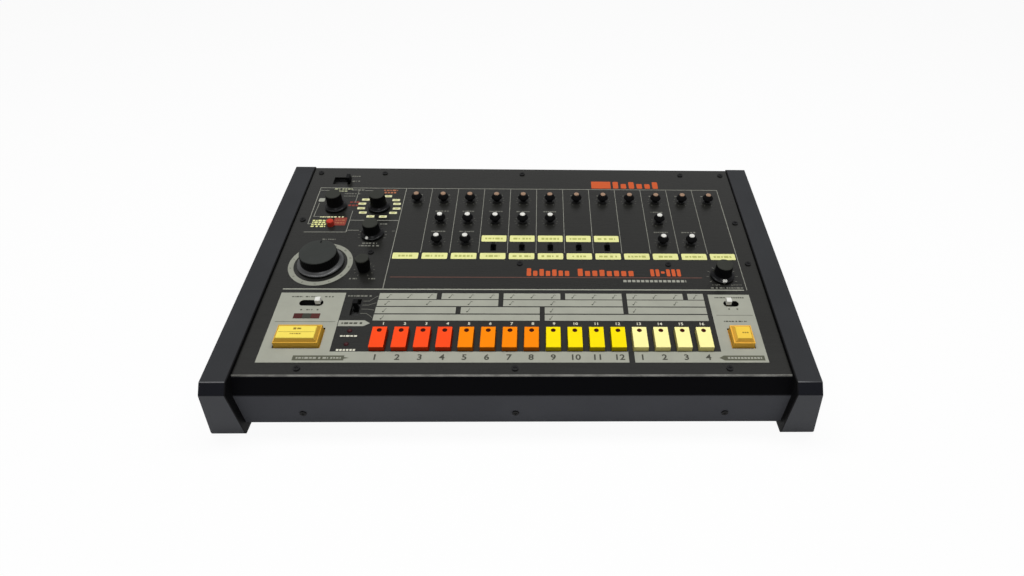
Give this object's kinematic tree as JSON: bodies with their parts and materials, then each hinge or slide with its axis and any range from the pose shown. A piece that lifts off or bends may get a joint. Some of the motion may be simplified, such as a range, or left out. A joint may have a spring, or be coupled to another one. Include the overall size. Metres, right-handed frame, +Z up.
{
  "type": "drum machine",
  "caption": "Desk-top rhythm machine: a low wedge-shaped case between two end cheeks, with a sloping panel of knobs, slide switches, push buttons and coloured step keys.",
  "frame": {"origin": "on the table, under the middle of the case", "axes": "+X to the right along the step keys, +Y to the rear, +Z up"},
  "size_m": [0.5072, 0.3049, 0.104],
  "materials": {
    "panel_paint": "satin",
    "case_paint": "satin",
    "cheek_plastic": "matt",
    "screw_black": "satin",
    "board_green": "matt",
    "socket_metal": "brushed",
    "lamp_red": "gloss",
    "knob_black": "satin",
    "key_red": "satin",
    "key_orange": "satin",
    "key_yellow": "satin",
    "key_cream": "satin",
    "button_yellow": "satin",
    "button_gold": "satin",
    "button_red": "satin",
    "lever_black": "matt",
    "lever_white": "satin"
  },
  "bodies": {
    "case": {"control_panel": "panel_paint", "chassis": "case_paint", "left_cheek": "cheek_plastic", "right_cheek": "cheek_plastic", "case_screws": "screw_black", "circuit_boards": "board_green", "rear_sockets": "socket_metal", "indicator_lamps": "lamp_red"},
    "mode_knob": {"mode_knob": "knob_black"},
    "instrument_knob": {"instrument_knob": "knob_black"},
    "fill_knob": {"fill_knob": "knob_black"},
    "volume_knob": {"volume_knob": "knob_black"},
    "tempo_knob": {"tempo_knob": "knob_black"},
    "fine_knob": {"fine_knob": "knob_black"},
    "start_button": {"start_button": "button_yellow"},
    "tap_button": {"tap_button": "button_gold"},
    "clear_button": {"clear_button": "button_red"},
    "power_lever": {"power_lever": "lever_black"},
    "scale_lever": {"scale_lever": "lever_black"},
    "variation_lever": {"variation_lever": "lever_white"},
    "fill_lever": {"fill_lever": "lever_white"},
    "voice_levers": {"voice_levers": "lever_black"},
    "level_knob_1": {"level_knob_1": "knob_black"},
    "level_knob_2": {"level_knob_2": "knob_black"},
    "level_knob_3": {"level_knob_3": "knob_black"},
    "level_knob_4": {"level_knob_4": "knob_black"},
    "level_knob_5": {"level_knob_5": "knob_black"},
    "level_knob_6": {"level_knob_6": "knob_black"},
    "level_knob_7": {"level_knob_7": "knob_black"},
    "level_knob_8": {"level_knob_8": "knob_black"},
    "level_knob_9": {"level_knob_9": "knob_black"},
    "level_knob_10": {"level_knob_10": "knob_black"},
    "level_knob_11": {"level_knob_11": "knob_black"},
    "level_knob_12": {"level_knob_12": "knob_black"},
    "tone_knob_1": {"tone_knob_1": "knob_black"},
    "tone_knob_2": {"tone_knob_2": "knob_black"},
    "tone_knob_3": {"tone_knob_3": "knob_black"},
    "tone_knob_4": {"tone_knob_4": "knob_black"},
    "tone_knob_5": {"tone_knob_5": "knob_black"},
    "tone_knob_6": {"tone_knob_6": "knob_black"},
    "decay_knob_1": {"decay_knob_1": "knob_black"},
    "decay_knob_2": {"decay_knob_2": "knob_black"},
    "decay_knob_3": {"decay_knob_3": "knob_black"},
    "decay_knob_4": {"decay_knob_4": "knob_black"},
    "step_key_1": {"step_key_1": "key_red"},
    "step_key_2": {"step_key_2": "key_red"},
    "step_key_3": {"step_key_3": "key_red"},
    "step_key_4": {"step_key_4": "key_red"},
    "step_key_5": {"step_key_5": "key_orange"},
    "step_key_6": {"step_key_6": "key_orange"},
    "step_key_7": {"step_key_7": "key_orange"},
    "step_key_8": {"step_key_8": "key_orange"},
    "step_key_9": {"step_key_9": "key_yellow"},
    "step_key_10": {"step_key_10": "key_yellow"},
    "step_key_11": {"step_key_11": "key_yellow"},
    "step_key_12": {"step_key_12": "key_yellow"},
    "step_key_13": {"step_key_13": "key_cream"},
    "step_key_14": {"step_key_14": "key_cream"},
    "step_key_15": {"step_key_15": "key_cream"},
    "step_key_16": {"step_key_16": "key_cream"}
  },
  "joints": [
    {"name": "mode_knob_turn", "type": "hinge", "parent": "case", "child": "mode_knob", "pos_m": [-0.1886, 0.08186, 0.08627], "axis": [0, -0.1184, 0.993], "range_deg": [-75, 75]},
    {"name": "instrument_knob_turn", "type": "hinge", "parent": "case", "child": "instrument_knob", "pos_m": [-0.1448, 0.08186, 0.08627], "axis": [0, -0.1184, 0.993], "range_deg": [-165, 165]},
    {"name": "fill_knob_turn", "type": "hinge", "parent": "case", "child": "fill_knob", "pos_m": [-0.144, 0.03837, 0.08108], "axis": [0, -0.1184, 0.993], "range_deg": [-300, 0]},
    {"name": "volume_knob_turn", "type": "hinge", "parent": "case", "child": "volume_knob", "pos_m": [0.1892, -0.01972, 0.07415], "axis": [0, -0.1184, 0.993], "range_deg": [-300, 0]},
    {"name": "tempo_knob_turn", "type": "hinge", "parent": "case", "child": "tempo_knob", "pos_m": [-0.1843, -0.00364, 0.07607], "axis": [0, -0.1184, 0.993], "range_deg": [-150, 150]},
    {"name": "fine_knob_turn", "type": "hinge", "parent": "case", "child": "fine_knob", "pos_m": [-0.1426, -0.01198, 0.07508], "axis": [0, -0.1184, 0.993], "range_deg": [-150, 150]},
    {"name": "start_button_slide", "type": "slide", "parent": "case", "child": "start_button", "axis": [0, -0.1184, 0.993], "range_m": [-0.002, 0], "stiffness_N_per_m": 300, "springref_m": 0.001},
    {"name": "tap_button_slide", "type": "slide", "parent": "case", "child": "tap_button", "axis": [0, -0.1184, 0.993], "range_m": [-0.002, 0], "stiffness_N_per_m": 300, "springref_m": 0.001},
    {"name": "clear_button_slide", "type": "slide", "parent": "case", "child": "clear_button", "axis": [0, -0.1184, 0.993], "range_m": [-0.002, 0], "stiffness_N_per_m": 300, "springref_m": 0.001},
    {"name": "power_lever_slide", "type": "slide", "parent": "case", "child": "power_lever", "axis": [1, 0, 0], "range_m": [-0.014, 0]},
    {"name": "scale_lever_slide", "type": "slide", "parent": "case", "child": "scale_lever", "axis": [0, 0.993, 0.1184], "range_m": [-0.0085, 0.0042]},
    {"name": "variation_lever_slide", "type": "slide", "parent": "case", "child": "variation_lever", "axis": [1, 0, 0], "range_m": [-0.0128, 0]},
    {"name": "fill_lever_slide", "type": "slide", "parent": "case", "child": "fill_lever", "axis": [1, 0, 0], "range_m": [0, 0.0052]},
    {"name": "voice_levers_slide", "type": "slide", "parent": "case", "child": "voice_levers", "axis": [0, 0.993, 0.1184], "range_m": [-0.0036, 0]},
    {"name": "level_knob_1_turn", "type": "hinge", "parent": "case", "child": "level_knob_1", "pos_m": [-0.10775, 0.09427, 0.08775], "axis": [0, -0.1184, 0.993], "range_deg": [-150, 150]},
    {"name": "level_knob_2_turn", "type": "hinge", "parent": "case", "child": "level_knob_2", "pos_m": [-0.08025, 0.09427, 0.08775], "axis": [0, -0.1184, 0.993], "range_deg": [-150, 150]},
    {"name": "level_knob_3_turn", "type": "hinge", "parent": "case", "child": "level_knob_3", "pos_m": [-0.05275, 0.09427, 0.08775], "axis": [0, -0.1184, 0.993], "range_deg": [-150, 150]},
    {"name": "level_knob_4_turn", "type": "hinge", "parent": "case", "child": "level_knob_4", "pos_m": [-0.02525, 0.09427, 0.08775], "axis": [0, -0.1184, 0.993], "range_deg": [-150, 150]},
    {"name": "level_knob_5_turn", "type": "hinge", "parent": "case", "child": "level_knob_5", "pos_m": [0.00225, 0.09427, 0.08775], "axis": [0, -0.1184, 0.993], "range_deg": [-150, 150]},
    {"name": "level_knob_6_turn", "type": "hinge", "parent": "case", "child": "level_knob_6", "pos_m": [0.02974, 0.09427, 0.08775], "axis": [0, -0.1184, 0.993], "range_deg": [-150, 150]},
    {"name": "level_knob_7_turn", "type": "hinge", "parent": "case", "child": "level_knob_7", "pos_m": [0.05724, 0.09427, 0.08775], "axis": [0, -0.1184, 0.993], "range_deg": [-150, 150]},
    {"name": "level_knob_8_turn", "type": "hinge", "parent": "case", "child": "level_knob_8", "pos_m": [0.08474, 0.09427, 0.08775], "axis": [0, -0.1184, 0.993], "range_deg": [-150, 150]},
    {"name": "level_knob_9_turn", "type": "hinge", "parent": "case", "child": "level_knob_9", "pos_m": [0.11224, 0.09427, 0.08775], "axis": [0, -0.1184, 0.993], "range_deg": [-150, 150]},
    {"name": "level_knob_10_turn", "type": "hinge", "parent": "case", "child": "level_knob_10", "pos_m": [0.13974, 0.09427, 0.08775], "axis": [0, -0.1184, 0.993], "range_deg": [-150, 150]},
    {"name": "level_knob_11_turn", "type": "hinge", "parent": "case", "child": "level_knob_11", "pos_m": [0.16724, 0.09427, 0.08775], "axis": [0, -0.1184, 0.993], "range_deg": [-150, 150]},
    {"name": "level_knob_12_turn", "type": "hinge", "parent": "case", "child": "level_knob_12", "pos_m": [0.19474, 0.09427, 0.08775], "axis": [0, -0.1184, 0.993], "range_deg": [-150, 150]},
    {"name": "tone_knob_1_turn", "type": "hinge", "parent": "case", "child": "tone_knob_1", "pos_m": [-0.08025, 0.06051, 0.08372], "axis": [0, -0.1184, 0.993], "range_deg": [-150, 150]},
    {"name": "tone_knob_2_turn", "type": "hinge", "parent": "case", "child": "tone_knob_2", "pos_m": [-0.05275, 0.06051, 0.08372], "axis": [0, -0.1184, 0.993], "range_deg": [-150, 150]},
    {"name": "tone_knob_3_turn", "type": "hinge", "parent": "case", "child": "tone_knob_3", "pos_m": [-0.02525, 0.06051, 0.08372], "axis": [0, -0.1184, 0.993], "range_deg": [-150, 150]},
    {"name": "tone_knob_4_turn", "type": "hinge", "parent": "case", "child": "tone_knob_4", "pos_m": [0.00225, 0.06051, 0.08372], "axis": [0, -0.1184, 0.993], "range_deg": [-150, 150]},
    {"name": "tone_knob_5_turn", "type": "hinge", "parent": "case", "child": "tone_knob_5", "pos_m": [0.02974, 0.06051, 0.08372], "axis": [0, -0.1184, 0.993], "range_deg": [-150, 150]},
    {"name": "tone_knob_6_turn", "type": "hinge", "parent": "case", "child": "tone_knob_6", "pos_m": [0.13974, 0.06051, 0.08372], "axis": [0, -0.1184, 0.993], "range_deg": [-150, 150]},
    {"name": "decay_knob_1_turn", "type": "hinge", "parent": "case", "child": "decay_knob_1", "pos_m": [-0.08025, 0.02824, 0.07987], "axis": [0, -0.1184, 0.993], "range_deg": [-150, 150]},
    {"name": "decay_knob_2_turn", "type": "hinge", "parent": "case", "child": "decay_knob_2", "pos_m": [-0.05275, 0.02824, 0.07987], "axis": [0, -0.1184, 0.993], "range_deg": [-150, 150]},
    {"name": "decay_knob_3_turn", "type": "hinge", "parent": "case", "child": "decay_knob_3", "pos_m": [0.13974, 0.02824, 0.07987], "axis": [0, -0.1184, 0.993], "range_deg": [-150, 150]},
    {"name": "decay_knob_4_turn", "type": "hinge", "parent": "case", "child": "decay_knob_4", "pos_m": [0.16724, 0.02824, 0.07987], "axis": [0, -0.1184, 0.993], "range_deg": [-150, 150]},
    {"name": "step_key_1_slide", "type": "slide", "parent": "case", "child": "step_key_1", "axis": [0, -0.1184, 0.993], "range_m": [-0.002, 0], "stiffness_N_per_m": 300, "springref_m": 0.001},
    {"name": "step_key_2_slide", "type": "slide", "parent": "case", "child": "step_key_2", "axis": [0, -0.1184, 0.993], "range_m": [-0.002, 0], "stiffness_N_per_m": 300, "springref_m": 0.001},
    {"name": "step_key_3_slide", "type": "slide", "parent": "case", "child": "step_key_3", "axis": [0, -0.1184, 0.993], "range_m": [-0.002, 0], "stiffness_N_per_m": 300, "springref_m": 0.001},
    {"name": "step_key_4_slide", "type": "slide", "parent": "case", "child": "step_key_4", "axis": [0, -0.1184, 0.993], "range_m": [-0.002, 0], "stiffness_N_per_m": 300, "springref_m": 0.001},
    {"name": "step_key_5_slide", "type": "slide", "parent": "case", "child": "step_key_5", "axis": [0, -0.1184, 0.993], "range_m": [-0.002, 0], "stiffness_N_per_m": 300, "springref_m": 0.001},
    {"name": "step_key_6_slide", "type": "slide", "parent": "case", "child": "step_key_6", "axis": [0, -0.1184, 0.993], "range_m": [-0.002, 0], "stiffness_N_per_m": 300, "springref_m": 0.001},
    {"name": "step_key_7_slide", "type": "slide", "parent": "case", "child": "step_key_7", "axis": [0, -0.1184, 0.993], "range_m": [-0.002, 0], "stiffness_N_per_m": 300, "springref_m": 0.001},
    {"name": "step_key_8_slide", "type": "slide", "parent": "case", "child": "step_key_8", "axis": [0, -0.1184, 0.993], "range_m": [-0.002, 0], "stiffness_N_per_m": 300, "springref_m": 0.001},
    {"name": "step_key_9_slide", "type": "slide", "parent": "case", "child": "step_key_9", "axis": [0, -0.1184, 0.993], "range_m": [-0.002, 0], "stiffness_N_per_m": 300, "springref_m": 0.001},
    {"name": "step_key_10_slide", "type": "slide", "parent": "case", "child": "step_key_10", "axis": [0, -0.1184, 0.993], "range_m": [-0.002, 0], "stiffness_N_per_m": 300, "springref_m": 0.001},
    {"name": "step_key_11_slide", "type": "slide", "parent": "case", "child": "step_key_11", "axis": [0, -0.1184, 0.993], "range_m": [-0.002, 0], "stiffness_N_per_m": 300, "springref_m": 0.001},
    {"name": "step_key_12_slide", "type": "slide", "parent": "case", "child": "step_key_12", "axis": [0, -0.1184, 0.993], "range_m": [-0.002, 0], "stiffness_N_per_m": 300, "springref_m": 0.001},
    {"name": "step_key_13_slide", "type": "slide", "parent": "case", "child": "step_key_13", "axis": [0, -0.1184, 0.993], "range_m": [-0.002, 0], "stiffness_N_per_m": 300, "springref_m": 0.001},
    {"name": "step_key_14_slide", "type": "slide", "parent": "case", "child": "step_key_14", "axis": [0, -0.1184, 0.993], "range_m": [-0.002, 0], "stiffness_N_per_m": 300, "springref_m": 0.001},
    {"name": "step_key_15_slide", "type": "slide", "parent": "case", "child": "step_key_15", "axis": [0, -0.1184, 0.993], "range_m": [-0.002, 0], "stiffness_N_per_m": 300, "springref_m": 0.001},
    {"name": "step_key_16_slide", "type": "slide", "parent": "case", "child": "step_key_16", "axis": [0, -0.1184, 0.993], "range_m": [-0.002, 0], "stiffness_N_per_m": 300, "springref_m": 0.001}
  ]
}
